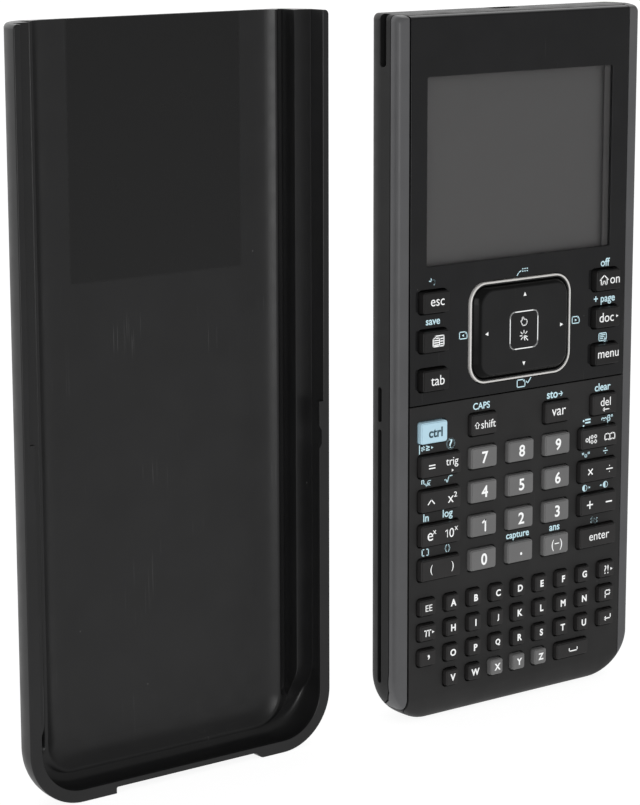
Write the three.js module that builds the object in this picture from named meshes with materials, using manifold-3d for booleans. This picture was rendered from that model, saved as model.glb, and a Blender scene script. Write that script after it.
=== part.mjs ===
// A graphing calculator and the slide cover that protects its keys, standing side by side.
// Millimetres, +Z up. X runs across the keys, the front faces -Y and both stand on their bottom ends.
import * as THREE from "three";
import { mergeVertices } from "three/addons/utils/BufferGeometryUtils.js";
import Module from "manifold-3d";

const wasm = await Module();
wasm.setup();

// Driving dimensions. Y is the depth behind the calculator's front face, and Z = 0 is a little above the
// calculator's bottom end, by BODY.foot.
const GAP = 0.3; // clearance between neighbouring pieces
const BODY = { width: 86, height: 190.6, foot: 1.2, depth: 15.7, bottomRadius: 13, topRadius: 1.6 };
const SIDE_EDGE = { frontDepth: 2, frontInset: 1.6, backDepth: 8.5, backInset: 8.5 };
const BOTTOM_EDGE = { frontDepth: 5.2, frontInset: 12, backDepth: 5.5, backInset: 6 };
const TOP_EDGE = { frontDepth: 6, frontInset: 1.3, backDepth: 4, backInset: 3.5 };
const FACE = { halfWidth: 38.8, thickness: 1.6, splitZ: 87 };
const GRIP_DEPTH = 3;
const WALL = 2.2;
const BACK_WALL = 2;
const SCREEN = { width: 66, height: 50, z: 149.2, windowY: 0.8, windowThickness: 0.8 };
const LCD = { width: 71, height: 56, y: 2, thickness: 2.8 };
const PAD = { z: 104.4, width: 36.3, height: 27.6, radius: 5.6, trimWidth: 0.9, trimRise: 0.8, rise: 1.5 };
const KEY = { flange: 0.7, flangeFront: 2.3, flangeBack: 2.9, draft: 0.15, bevel: 0.35, radius: 1.2 };
// A key's corner is the number of straight stretches in each of its four round corners.
const UPPER_KEY = { width: 9.7, height: 5.9, rise: 1.9, corner: 2 };
const NUMBER_KEY = { width: 9.7, height: 6, rise: 1.2, corner: 2 };
const DOUBLE_KEY = { width: 14.6, height: 6, rise: 1.5, corner: 2 };
const LETTER_KEY = { width: 4.8, height: 4.6, rise: 1.3, corner: 1 };
const SIDE_LETTER_KEY = { width: 6.2, height: 4.6, rise: 1.3, corner: 1 };
const SPACE_KEY = { width: 12.5, height: 4.6, rise: 1.3, corner: 1 };
const UPPER_COLUMN = 31.1; // x of the outer single keys
const DOUBLE_COLUMN = 28.9;
const NUMBER_PITCH = { x: 13.4, z: 9.53 };
const LETTER_PITCH = { x: 8.07, z: 7.07 };
const SIDE_LETTER_COLUMN = 33;
const UPPER_ROW = { z: 114.8, pitch: 10.5 };
const SHIFT_ROW_Z = 79.5;
const NUMBER_ROW_Z = 70.3;
const LETTER_ROW_Z = 31.3;
const MEMBRANE = { y: 4, thickness: 1, bottom: 6, top: 117 };
const BOARD = { halfWidth: 36, y: 5.4, thickness: 1.2, bottom: 8, top: 182 };
const DOOR = { width: 49.4, height: 69.4, z: 135, thickness: 1.7 };
const DOOR_SCREW = { offset: 33, headRadius: 2, headHeight: 0.8, shankRadius: 0.9, length: 5 };
const BATTERY = { width: 48, height: 58, y: 8.6, thickness: 4.8 };
const USB = { width: 7.7, depth: 3.9, y: 8.8, length: 8, wall: 0.5 };
const DOCK = { width: 20, depth: 3, y: 8, rise: -0.6, length: 5.4 };
const RESET = { x: 18, z: 175, radius: 1.5, flangeRadius: 2.3, sunk: 0.3 };
const CATCH_SLOT = { y: 6.3, width: 2.5, length: 13.7, depth: 1.2 };
const RAIL_GROOVE = { y: 7.3, width: 1.3, depth: 1.1, stretches: [[10, 80.5], [82.5, 92]] };
const COVER = {
  x: -109.9, y: 2.6, width: 92.9, height: 193.9, depth: 13, wall: 2, bottomRadius: 15.2, topRadius: 1.2,
  floorDepth: 11, ledgeDepth: 5.2, ledgeHalfWidth: 39.3, floorHalfWidth: 28, shoulderDepth: 9,
};
const COVER_SIDE = { frontDepth: 0.4, frontInset: 0.3, backDepth: 12.2, backInset: 11 };
const COVER_BOTTOM = { frontDepth: 0.4, frontInset: 0.3, backDepth: 5, backInset: 5 };
const COVER_RAIL = { reach: 1.3, depth: 1.1, top: 93 };
const COVER_NOTCH = { halfWidth: 21.5, height: 1.8, depth: 6, slope: 2.5 };

// One closed solid from a three.js geometry.
function solidOf(geometry) {
  const bare = geometry.clone();
  bare.deleteAttribute("normal");
  bare.deleteAttribute("uv");
  const merged = mergeVertices(bare, 1e-4);
  const vertProperties = new Float32Array(merged.attributes.position.array);
  const triVerts = new Uint32Array(merged.index.array);
  return new wasm.Manifold(new wasm.Mesh({ numProp: 3, vertProperties, triVerts }));
}

// A three.js geometry from a solid.
function geometryOf(solid) {
  const mesh = solid.getMesh();
  const geometry = new THREE.BufferGeometry();
  geometry.setAttribute("position", new THREE.BufferAttribute(mesh.vertProperties, 3));
  geometry.setIndex(new THREE.BufferAttribute(mesh.triVerts, 1));
  geometry.computeVertexNormals();
  return geometry;
}

function boxSolid(x0, x1, y0, y1, z0, z1) {
  const box = new THREE.BoxGeometry(x1 - x0, y1 - y0, z1 - z0);
  return solidOf(box.translate((x0 + x1) / 2, (y0 + y1) / 2, (z0 + z1) / 2));
}

// A rounded rectangle as a closed ring of points at depth y, anticlockwise seen from the front.
function ring(x0, x1, z0, z1, bottomRadius, topRadius, y, segments) {
  const corners = [
    [x1 - bottomRadius, z0 + bottomRadius, bottomRadius, -Math.PI / 2],
    [x1 - topRadius, z1 - topRadius, topRadius, 0],
    [x0 + topRadius, z1 - topRadius, topRadius, Math.PI / 2],
    [x0 + bottomRadius, z0 + bottomRadius, bottomRadius, Math.PI],
  ];
  return corners.flatMap(([x, z, radius, start]) =>
    Array.from({ length: segments + 1 }, (_, i) => {
      const angle = start + (i / segments) * (Math.PI / 2);
      return new THREE.Vector3(x + radius * Math.cos(angle), y, z + radius * Math.sin(angle));
    }),
  );
}

// A closed skin over rings that run from the front to the back.
function loft(rings) {
  const count = rings[0].length;
  const last = (rings.length - 1) * count;
  const index = [];
  for (let k = 0; k + 1 < rings.length; k++)
    for (let i = 0; i < count; i++) {
      const j = (i + 1) % count;
      const front = k * count;
      const back = front + count;
      index.push(front + i, back + i, back + j, front + i, back + j, front + j);
    }
  for (let i = 1; i + 1 < count; i++) {
    index.push(0, i, i + 1);
    index.push(last, last + i + 1, last + i);
  }
  const geometry = new THREE.BufferGeometry().setFromPoints(rings.flat());
  geometry.setIndex(index);
  return geometry;
}

// A rounded rectangular slab that keeps its outline from front to back.
function slab(x, z, width, height, radius, y, thickness, segments = 2) {
  const at = (depth) =>
    ring(x - width / 2, x + width / 2, z - height / 2, z + height / 2, radius, radius, depth, segments);
  return solidOf(loft([at(y), at(y + thickness)]));
}

// How far an edge has drawn in at depth y, on a quarter ellipse at the front and one at the back.
function inset(y, depth, edge) {
  const front = Math.max(0, (edge.frontDepth - y) / edge.frontDepth);
  const back = Math.max(0, (y - (depth - edge.backDepth)) / edge.backDepth);
  const drawn = (share, most) => most * (1 - Math.sqrt(1 - Math.min(1, share) ** 2));
  return drawn(front, edge.frontInset) + drawn(back, edge.backInset);
}

// The calculator's whole outer form, which the faceplates, grips and housing are cut from.
function bodyForm() {
  const depths = [0, 0.25, 0.7, 1.4, 2.2, 3.2, 5.2, 8.6, 10.4, 12.2, 13.8, 14.9, BODY.depth];
  return solidOf(
    loft(
      depths.map((y) => {
        const side = BODY.width / 2 - inset(y, BODY.depth, SIDE_EDGE);
        const bottom = inset(y, BODY.depth, BOTTOM_EDGE);
        const top = BODY.height - inset(y, BODY.depth, TOP_EDGE);
        const radius = Math.max(0.8, BODY.bottomRadius - bottom);
        return ring(-side, side, bottom - BODY.foot, top, radius, BODY.topRadius, y, 4);
      }),
    ),
  );
}

// Where every key stands: its node name, centre and cap size.
function keyPlan() {
  const keys = [];
  const add = (name, x, z, cap) => keys.push({ name, x, z, cap });
  ["esc", "scratchpad", "tab"].forEach((name, i) =>
    add("key_" + name, -UPPER_COLUMN, UPPER_ROW.z - i * UPPER_ROW.pitch, UPPER_KEY),
  );
  ["home", "doc", "menu"].forEach((name, i) =>
    add("key_" + name, UPPER_COLUMN, UPPER_ROW.z - i * UPPER_ROW.pitch, UPPER_KEY),
  );
  add("key_ctrl", -UPPER_COLUMN, SHIFT_ROW_Z, NUMBER_KEY);
  add("key_shift", -NUMBER_PITCH.x, SHIFT_ROW_Z, NUMBER_KEY);
  add("key_var", NUMBER_PITCH.x, SHIFT_ROW_Z, NUMBER_KEY);
  add("key_del", UPPER_COLUMN, SHIFT_ROW_Z, NUMBER_KEY);
  const numberRow = (row) => NUMBER_ROW_Z - row * NUMBER_PITCH.z;
  ["equals_trig", "power_square", "exponentials", "brackets"].forEach((name, row) =>
    add("key_" + name, -DOUBLE_COLUMN, numberRow(row), DOUBLE_KEY),
  );
  ["template_catalog", "times_divide", "plus_minus", "enter"].forEach((name, row) =>
    add("key_" + name, DOUBLE_COLUMN, numberRow(row), DOUBLE_KEY),
  );
  [["7", "8", "9"], ["4", "5", "6"], ["1", "2", "3"], ["0", "point", "negative"]].forEach((names, row) =>
    names.forEach((name, column) =>
      add("key_" + name, (column - 1) * NUMBER_PITCH.x, numberRow(row), NUMBER_KEY),
    ),
  );
  const letterRow = (row) => LETTER_ROW_Z - row * LETTER_PITCH.z;
  ["ee", "pi", "comma"].forEach((name, row) =>
    add("key_" + name, -SIDE_LETTER_COLUMN, letterRow(row), SIDE_LETTER_KEY),
  );
  ["punctuation", "flag", "return"].forEach((name, row) =>
    add("key_" + name, SIDE_LETTER_COLUMN, letterRow(row), SIDE_LETTER_KEY),
  );
  add("key_space", 2.5 * LETTER_PITCH.x, letterRow(3), SPACE_KEY);
  return keys;
}

// The letter rows: each is one moulded strip of small caps.
function letterRows() {
  const spans = [["letters_a_to_g", 7], ["letters_h_to_n", 7], ["letters_o_to_u", 7], ["letters_v_to_z", 5]];
  return spans.map(([name, count], row) => ({
    name,
    z: LETTER_ROW_Z - row * LETTER_PITCH.z,
    columns: Array.from({ length: count }, (_, i) => (i - 3) * LETTER_PITCH.x),
  }));
}

// A key cap: a flange behind the faceplate, straight sides through it and a bevelled crown in front.
function keyGeometry({ width, height, rise, corner }, flange = KEY.flange) {
  const at = (grow, y) =>
    ring(-width / 2 - grow, width / 2 + grow, -height / 2 - grow, height / 2 + grow,
      KEY.radius, KEY.radius, y, corner);
  return loft([
    at(-KEY.draft - KEY.bevel, -rise),
    at(-KEY.draft, -rise + KEY.bevel),
    at(0, 0),
    at(0, KEY.flangeFront),
    at(flange, KEY.flangeFront),
    at(flange, KEY.flangeBack),
  ]);
}

function keyHole(x, z, cap) {
  const margin = 1;
  return slab(x, z, cap.width + 2 * GAP, cap.height + 2 * GAP, KEY.radius + GAP,
    -margin, FACE.thickness + 2 * margin, cap.corner);
}

// A strip of letter caps on one web behind the faceplate.
function letterStrip(columns) {
  const { width, height } = LETTER_KEY;
  const flange = 0.4;
  const first = columns[0];
  const last = columns[columns.length - 1];
  const web = slab((first + last) / 2, 0, last - first + width + 2 * flange, height + 2 * flange,
    KEY.radius, KEY.flangeFront, KEY.flangeBack - KEY.flangeFront, LETTER_KEY.corner);
  return columns.reduce(
    (strip, x) => strip.add(solidOf(keyGeometry(LETTER_KEY, flange).translate(x, 0, 0))),
    web,
  );
}

function faceplate(form, z0, z1, holes) {
  const blank = form.intersect(boxSolid(-FACE.halfWidth, FACE.halfWidth, -1, FACE.thickness, z0, z1));
  return holes.reduce((plate, hole) => plate.subtract(hole), blank);
}

function upperFaceplate(form, keys) {
  const reach = 3;
  const screen = slab(0, SCREEN.z, SCREEN.width, SCREEN.height, 0.6, -1, reach);
  const pad = slab(0, PAD.z, PAD.width + 2 * GAP, PAD.height + 2 * GAP, PAD.radius + GAP, -1, reach, 3);
  const caps = keys.filter((key) => key.z > FACE.splitZ).map((key) => keyHole(key.x, key.z, key.cap));
  return faceplate(form, FACE.splitZ + GAP / 2, BODY.height + 1, [screen, pad, ...caps]);
}

function keypadFaceplate(form, keys, rows) {
  const caps = keys.filter((key) => key.z < FACE.splitZ).map((key) => keyHole(key.x, key.z, key.cap));
  const letters = rows.flatMap((row) => row.columns.map((x) => keyHole(x, row.z, LETTER_KEY)));
  return faceplate(form, -1, FACE.splitZ - GAP / 2, [...caps, ...letters]);
}

function grip(form, side) {
  const inner = FACE.halfWidth + GAP;
  const outer = BODY.width / 2 + 1;
  const [x0, x1] = side > 0 ? [inner, outer] : [-outer, -inner];
  return form.intersect(boxSolid(x0, x1, -1, GRIP_DEPTH, -3, BODY.height + 1));
}

// A straight slot with round ends in a side wall.
function sideSlot(side, y, width, depth, z0, z1) {
  const x = side * (BODY.width / 2 - depth + 1);
  const outline = loft([
    ring(-width / 2, width / 2, z0, z1, width / 2, width / 2, -1, 4),
    ring(-width / 2, width / 2, z0, z1, width / 2, width / 2, 1, 4),
  ]);
  return solidOf(outline.rotateZ(Math.PI / 2).translate(x, y, 0));
}

function housingCavity() {
  const backY = BODY.depth - BACK_WALL;
  const half = BODY.width / 2 - WALL;
  const at = (y, side, bottom, top) =>
    ring(-half + side, half - side, WALL + bottom - BODY.foot, BODY.height - WALL - top, 11, 3, y, 3);
  return solidOf(loft([at(1, 0, 2, 0), at(4, 0, 0.4, 0), at(6.8, 0, 0.2, 0.6), at(9, 0.8, 0.2, 2.2),
    at(backY, 5.2, 3, 6.5)]));
}

function rearHousing(form) {
  const backY = BODY.depth - BACK_WALL;
  const front = FACE.thickness + GAP;
  const half = FACE.halfWidth;
  let housing = form.intersect(boxSolid(-BODY.width, BODY.width, front, BODY.depth + 1, -3, BODY.height + 1));
  housing = housing.subtract(housingCavity());
  for (const side of [-1, 1]) {
    const [x0, x1] = side > 0 ? [half, BODY.width] : [-BODY.width, -half];
    housing = housing.subtract(boxSolid(x0, x1, -1, GRIP_DEPTH + GAP, -3, BODY.height + 1));
    const { y, width, depth, length } = CATCH_SLOT;
    housing = housing.subtract(sideSlot(side, y, width, depth, BODY.height - length, BODY.height + 3));
    for (const [z0, z1] of RAIL_GROOVE.stretches)
      housing = housing.subtract(sideSlot(side, RAIL_GROOVE.y, RAIL_GROOVE.width, RAIL_GROOVE.depth, z0, z1));
  }
  housing = housing.subtract(slab(0, DOOR.z, DOOR.width + 2 * GAP, DOOR.height + 2 * GAP, 3 + GAP,
    backY - 1, BACK_WALL + 2));
  for (const side of [-1, 1]) {
    const z = DOOR.z + side * DOOR_SCREW.offset;
    const tab = boxSolid(-5, 5, backY - 1.9, backY, z - 2.5, z + 2.5);
    const [foot0, foot1] = side > 0 ? [z + 2.4, z + 6] : [z - 6, z - 2.4];
    const foot = boxSolid(-5, 5, backY - 1.9, backY + 0.5, foot0, foot1);
    const rib = boxSolid(side * 26 - 0.6, side * 26 + 0.6, BATTERY.y, backY + 0.5, DOOR.z - 30, DOOR.z + 30);
    housing = housing.add(tab).add(foot).add(rib);
    housing = housing.subtract(pin(0, z, DOOR_SCREW.shankRadius + GAP, backY - 4, backY + 1));
  }
  housing = housing.subtract(pin(RESET.x, RESET.z, RESET.radius + GAP, backY - 1, BODY.depth + 1));
  const socket = { x: USB.width / 2 + GAP, y: USB.depth / 2 + GAP };
  housing = housing.subtract(
    boxSolid(-socket.x, socket.x, USB.y - socket.y, USB.y + socket.y, BODY.height - 6, BODY.height + 1),
  );
  const dock = { x: DOCK.width / 2 + GAP, y: DOCK.depth / 2 + GAP };
  return housing.subtract(boxSolid(-dock.x, dock.x, DOCK.y - dock.y, DOCK.y + dock.y, -3, 3));
}

// A round bar along Y.
function pin(x, z, radius, y0, y1) {
  const bar = new THREE.CylinderGeometry(radius, radius, y1 - y0, 12);
  return solidOf(bar.translate(x, (y0 + y1) / 2, z));
}

function touchpadTrim() {
  const { width, height, radius, trimWidth, trimRise } = PAD;
  const depth = trimRise + FACE.thickness;
  const outer = slab(0, PAD.z, width, height, radius, -trimRise, depth, 4);
  const inner = slab(0, PAD.z, width - 2 * trimWidth, height - 2 * trimWidth, radius - trimWidth,
    -trimRise - 1, depth + 2, 4);
  return outer.subtract(inner);
}

function touchpadGeometry() {
  const inside = { width: PAD.width - 2 * PAD.trimWidth - 2 * GAP, height: PAD.height - 2 * PAD.trimWidth - 2 * GAP };
  const at = (grow, y) =>
    ring(-inside.width / 2 - grow, inside.width / 2 + grow, -inside.height / 2 - grow,
      inside.height / 2 + grow, 4.4 + grow / 2, 4.4 + grow / 2, y, 3);
  return loft([at(-1.9, -PAD.rise), at(-0.9, -PAD.rise + 0.25), at(-0.2, -PAD.rise + 0.9), at(0, 0),
    at(0, KEY.flangeFront), at(KEY.flange, KEY.flangeFront), at(KEY.flange, KEY.flangeBack)]);
}

function batteryDoor() {
  const y = BODY.depth - DOOR.thickness;
  let door = slab(0, DOOR.z, DOOR.width, DOOR.height, 3, y, DOOR.thickness, 3);
  for (const side of [-1, 1]) {
    const z = DOOR.z + side * DOOR_SCREW.offset;
    door = door.subtract(pin(0, z, DOOR_SCREW.shankRadius + GAP, y - 1, BODY.depth + 1));
    const seat = BODY.depth - DOOR_SCREW.headHeight - 0.2 - GAP;
    door = door.subtract(pin(0, z, DOOR_SCREW.headRadius + GAP, seat, BODY.depth + 1));
  }
  return door;
}

// A pan-head screw with a crossed recess, its shank pointing forwards from the origin.
function doorScrew() {
  const { headRadius, headHeight, shankRadius, length } = DOOR_SCREW;
  const profile = [[0, -length], [shankRadius, -length], [shankRadius, 0], [headRadius, 0],
    [headRadius, headHeight - 0.3], [headRadius - 0.4, headHeight], [0, headHeight]];
  const turned = new THREE.LatheGeometry(profile.map(([r, y]) => new THREE.Vector2(r, y)), 12);
  const arm = 1.1;
  const sunk = headHeight - 0.4;
  return solidOf(turned)
    .subtract(boxSolid(-arm, arm, sunk, headHeight + 1, -0.25, 0.25))
    .subtract(boxSolid(-0.25, 0.25, sunk, headHeight + 1, -arm, arm));
}

function resetButton() {
  const backY = BODY.depth - BACK_WALL;
  const front = backY - GAP - 0.8;
  const flange = pin(RESET.x, RESET.z, RESET.flangeRadius, front, backY - GAP);
  return flange.add(pin(RESET.x, RESET.z, RESET.radius, front, BODY.depth - RESET.sunk));
}

// An open-topped metal shell with a contact tongue.
function usbSocket() {
  const { width, depth, y, length, wall } = USB;
  const top = BODY.height - 1.4;
  const shell = boxSolid(-width / 2, width / 2, y - depth / 2, y + depth / 2, top - length, top);
  const hollow = boxSolid(-width / 2 + wall, width / 2 - wall, y - depth / 2 + wall, y + depth / 2 - wall,
    top - length + 1.5, top + 1);
  const tongue = boxSolid(-width / 4, width / 4, y - 0.4, y + 0.4, top - length + 1, top - 1.2);
  return shell.subtract(hollow).add(tongue);
}

function dockConnector() {
  const { width, depth, y, rise, length } = DOCK;
  let block = boxSolid(-width / 2, width / 2, y - depth / 2, y + depth / 2, rise, rise + length);
  const contacts = 8;
  for (let i = 0; i < contacts; i++) {
    const x = (i - (contacts - 1) / 2) * 2.2;
    block = block.subtract(boxSolid(x - 0.5, x + 0.5, y - 0.8, y + 0.8, rise - 1, rise + 0.6));
  }
  return block;
}

function mainBoard() {
  const { halfWidth, y, thickness, bottom, top } = BOARD;
  const middle = (bottom + top) / 2;
  let board = slab(0, middle, 2 * halfWidth, top - bottom, 4, y, thickness);
  for (const x of [-1, 1])
    for (const z of [bottom + 6, middle, top - 6])
      board = board.subtract(pin(x * (halfWidth - 4), z, 1.6, y - 1, y + thickness + 1));
  return board;
}

// A display module: a glass panel on a slightly larger frame.
function lcdModule() {
  const { width, height, y, thickness } = LCD;
  const frame = slab(0, SCREEN.z, width, height, 1, y + 1, thickness - 1);
  return frame.add(slab(0, SCREEN.z, width - 4, height - 4, 0.6, y, 1.2));
}

function batteryPack() {
  const body = slab(0, DOOR.z, BATTERY.width, BATTERY.height, 2, BATTERY.y, BATTERY.thickness, 3);
  return body.subtract(boxSolid(-8, 8, BATTERY.y - 1, BATTERY.y + 2, DOOR.z + BATTERY.height / 2 - 2, DOOR.z + 60));
}

// The cover's trough: a wide step that takes the calculator's sides and a deeper well over the keys.
function coverTrough() {
  const { width, height, wall, bottomRadius, floorDepth, ledgeDepth, ledgeHalfWidth } = COVER;
  const half = width / 2 - wall;
  const over = height + 5;
  const at = (y, side, bottom, radius) => ring(-side, side, bottom, over, radius, 1, y, 5);
  const inner = bottomRadius - wall;
  const step = solidOf(loft([at(-1, half, wall, inner), at(ledgeDepth, half, wall + 0.3, inner)]));
  const well = solidOf(
    loft([
      at(-1, half, wall, inner),
      at(COVER.shoulderDepth, half, wall + 0.6, inner),
      at(COVER.shoulderDepth, ledgeHalfWidth - 1, wall + 0.9, inner),
      at(floorDepth - 0.9, ledgeHalfWidth - 3.5, wall + 2.4, inner),
      at(floorDepth - 0.2, COVER.floorHalfWidth + 3, wall + 5, inner),
      at(floorDepth, COVER.floorHalfWidth, wall + 9, inner),
    ]),
  );
  const reach = boxSolid(-ledgeHalfWidth, ledgeHalfWidth, -2, floorDepth + 1, 0, over + 1);
  return step.add(well.intersect(reach));
}

// The rail inside the rim's lower half, which runs in the grooves of the calculator's sides.
function coverRail() {
  const { width, wall, bottomRadius } = COVER;
  const at = (reach, top, y) => {
    const side = width / 2 - wall - reach;
    return ring(-side, side, wall + reach, top, bottomRadius - wall - reach, 0.1, y, 5);
  };
  const bite = 0.3; // how far the rail reaches into the wall, so that the two are one body
  const { reach, depth, top } = COVER_RAIL;
  const outline = solidOf(loft([at(-bite, top, 0), at(-bite, top, depth)]));
  const inside = solidOf(loft([at(reach, top + 1, -1), at(reach, top + 1, depth + 1)]));
  return outline.subtract(inside);
}

function slideCover() {
  const depths = [0, 0.4, 3, 5.5, 8, 10, 11.6, 12.6, COVER.depth];
  const outer = solidOf(
    loft(
      depths.map((y) => {
        const side = COVER.width / 2 - inset(y, COVER.depth, COVER_SIDE);
        const bottom = inset(y, COVER.depth, COVER_BOTTOM);
        return ring(-side, side, bottom, COVER.height, COVER.bottomRadius, COVER.topRadius, y, 5);
      }),
    ),
  );
  const { halfWidth, height, depth, slope } = COVER_NOTCH;
  const notch = new THREE.Shape();
  notch.moveTo(-halfWidth, -1);
  notch.lineTo(halfWidth + slope, -1);
  notch.lineTo(halfWidth + slope, 0);
  notch.quadraticCurveTo(halfWidth + slope / 3, 0, halfWidth, height);
  notch.lineTo(-halfWidth, height);
  const cut = new THREE.ExtrudeGeometry(notch, { depth: depth + 1, bevelEnabled: false, curveSegments: 3 });
  cut.rotateX(Math.PI / 2).translate(0, depth, 0);
  return outer.subtract(coverTrough()).add(coverRail()).subtract(solidOf(cut));
}

function finish(color, roughness, metalness = 0) {
  return new THREE.MeshStandardMaterial({ color, roughness, metalness });
}

function piece(name, shape, material) {
  const made = new THREE.Mesh(shape.isBufferGeometry ? shape : geometryOf(shape), material);
  made.name = name;
  return made;
}

function keyFinish(name) {
  if (name === "key_ctrl") return finish(0xa9c9dc, 0.45);
  if (/^key_([0-9]|point|negative)$/.test(name)) return finish(0x6a6a6a, 0.5);
  return finish(0x3a3838, 0.5);
}

function calculator() {
  const group = new THREE.Group();
  const form = bodyForm();
  const keys = keyPlan();
  const rows = letterRows();
  group.add(
    piece("rear_housing", rearHousing(form), finish(0x3c3c3d, 0.6)),
    piece("left_side_grip", grip(form, -1), finish(0x5a5a5c, 0.5)),
    piece("right_side_grip", grip(form, 1), finish(0x5a5a5c, 0.5)),
    piece("upper_faceplate", upperFaceplate(form, keys), finish(0x262626, 0.2)),
    piece("keypad_faceplate", keypadFaceplate(form, keys, rows), finish(0x2e2d2d, 0.6)),
    piece("display_window", slab(0, SCREEN.z, SCREEN.width - 2 * GAP, SCREEN.height - 2 * GAP, 0.5,
      SCREEN.windowY, SCREEN.windowThickness), finish(0x9a9a9a, 0.1)),
    piece("lcd_module", lcdModule(), finish(0x555353, 0.3)),
    piece("main_board", mainBoard(), finish(0x1f4a34, 0.5)),
    piece("keypad_membrane", slab(0, (MEMBRANE.bottom + MEMBRANE.top) / 2, 2 * BOARD.halfWidth,
      MEMBRANE.top - MEMBRANE.bottom, 4, MEMBRANE.y, MEMBRANE.thickness), finish(0xb8b6ae, 0.8)),
    piece("touchpad_trim", touchpadTrim(), finish(0xb9b5b0, 0.3, 0.9)),
    piece("battery_pack", batteryPack(), finish(0x30343a, 0.6)),
    piece("battery_door", batteryDoor(), finish(0x39393a, 0.6)),
    piece("usb_socket", usbSocket(), finish(0xa8a8a8, 0.3, 1)),
    piece("dock_connector", dockConnector(), finish(0x202020, 0.5)),
    piece("reset_button", resetButton(), finish(0x8a8a8a, 0.6)),
  );
  for (const [name, side] of [["door_screw_lower", -1], ["door_screw_upper", 1]]) {
    const screw = piece(name, doorScrew(), finish(0x8d8d8d, 0.35, 1));
    screw.position.set(0, BODY.depth - DOOR_SCREW.headHeight - 0.2, DOOR.z + side * DOOR_SCREW.offset);
    group.add(screw);
  }
  const pad = piece("touchpad", touchpadGeometry(), finish(0x1b1b1c, 0.25));
  pad.position.z = PAD.z;
  group.add(pad);
  for (const key of keys) {
    const cap = piece(key.name, keyGeometry(key.cap), keyFinish(key.name));
    cap.position.set(key.x, 0, key.z);
    group.add(cap);
  }
  for (const row of rows) {
    const strip = piece(row.name, letterStrip(row.columns), keyFinish(row.name));
    strip.position.z = row.z;
    group.add(strip);
  }
  return group;
}

// The two stand side by side, and the whole is centred over its base.
const pair = new THREE.Group();
const handheld = calculator();
const cover = piece("slide_cover", slideCover(), finish(0x333333, 0.35));
handheld.position.z = BODY.foot;
cover.position.set(COVER.x, COVER.y, 0);
pair.add(handheld, cover);
const farLeft = COVER.x - COVER.width / 2;
const farRight = BODY.width / 2;
pair.position.set(-(farLeft + farRight) / 2, -(BODY.depth - UPPER_KEY.rise) / 2, 0);

const part = new THREE.Group();
part.add(pair);

export default part;
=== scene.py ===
"""The looks of a graphing calculator and its slide cover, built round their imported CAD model.

Pieces are drawn in millimetres: x from the middle of their own front, y behind that front, z up.
The calculator's z is measured from a little above its bottom end, by FOOT.
"""
import math

import bmesh
import bpy
from mathutils import Matrix, Vector


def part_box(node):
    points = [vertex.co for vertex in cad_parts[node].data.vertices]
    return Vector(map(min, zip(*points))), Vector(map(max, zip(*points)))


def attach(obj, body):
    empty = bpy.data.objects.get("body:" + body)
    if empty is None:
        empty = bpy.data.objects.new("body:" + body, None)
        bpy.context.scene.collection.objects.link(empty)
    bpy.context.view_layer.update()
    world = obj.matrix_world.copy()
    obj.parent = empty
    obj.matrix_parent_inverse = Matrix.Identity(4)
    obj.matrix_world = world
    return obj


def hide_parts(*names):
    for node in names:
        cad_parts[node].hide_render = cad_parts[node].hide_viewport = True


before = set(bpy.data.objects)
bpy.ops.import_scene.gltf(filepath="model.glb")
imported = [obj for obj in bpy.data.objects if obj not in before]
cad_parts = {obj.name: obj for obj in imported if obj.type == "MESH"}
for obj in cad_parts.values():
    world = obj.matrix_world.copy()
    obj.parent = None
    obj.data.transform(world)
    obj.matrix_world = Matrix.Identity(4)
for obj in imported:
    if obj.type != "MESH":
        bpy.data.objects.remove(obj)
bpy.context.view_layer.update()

MM = 0.001
GAP = 0.3
BODY_W, BODY_H, BODY_DEPTH, BODY_CORNER, BODY_TOP_CORNER = 86, 190.6, 15.7, 13, 1.6
FOOT = 1.2
BELOW, ABOVE, BESIDE = -5, 195, 60  # beyond the body's ends and sides
# An edge's roundings: how deep and how far in the front one goes, then the back one.
SIDE_EDGE = (2, 1.6, 8.5, 8.5)
BOTTOM_EDGE = (4.4, 7.2, 6.3, 8)
TOP_EDGE = (6, 1.3, 4, 3.5)
FACE_HALF, FACE_THICK, SPLIT_Z, FACE_BEVEL = 38.8, 1.6, 87, 0.15
AHEAD = -0.004  # where a front part's bevel starts, just ahead of the body's form
GRIP_DEPTH, WALL, BACK_WALL = 3, 2.2, 2
# Depths and heights of the lines behind the parts that wrap round the bottom end.
FACE_LIP = ((1.6, 3.2), (2.6, 1.9), (3.8, 0.8), (5.4, 0.1))
GRIP_LIP = ((3, 14), (3.6, 8), (5.5, 5), (8, 3.4), (12, 2), (14.5, 1.6))
SCREEN_Z, SCREEN_W, SCREEN_H = 149.2, 66, 50
PANEL_LEFT, PANEL_RIGHT, PANEL_HALF = -32.65, 30.75, 24.8
PAD_Z, PAD_W, PAD_H, PAD_RADIUS, TRIM = 104.4, 36.3, 27.6, 5.6, 0.9
PAD_RISE, PAD_BEVEL, PAD_CORNER, RING_RISE = 1.5, 1.3, 4.4, 0.6
FLANGE, SEAT_FRONT, SEAT_BACK = 0.7, 2.3, 2.9  # the flange under every key
LETTER_PITCH = 8.07
CATCH = dict(y=6.3, width=2.5, depth=1.9)
CATCH_LENGTH = 13.7
RAIL_GROOVE = dict(y=7.3, width=1.5, depth=1.7)
RAIL_GROOVE_SPANS = ((10, 80.5), (82.5, 92))
DOOR_Z, DOOR_W, DOOR_H, DOOR_THICK, DOOR_CORNER, SCREW_OUT = 135, 49.4, 69.4, 1.7, 3, 33
FINGER_GROOVES, FINGER_PITCH, FINGER_START, FINGER_W, FINGER_H = 7, 2.6, 12, 22, 1.1
RESET_X, RESET_Z = 18, 175
USB_Y, USB_W, USB_H, USB_CORNER, USB_SINK = 8.8, 7.7, 3.9, 0.9, 1.4
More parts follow.
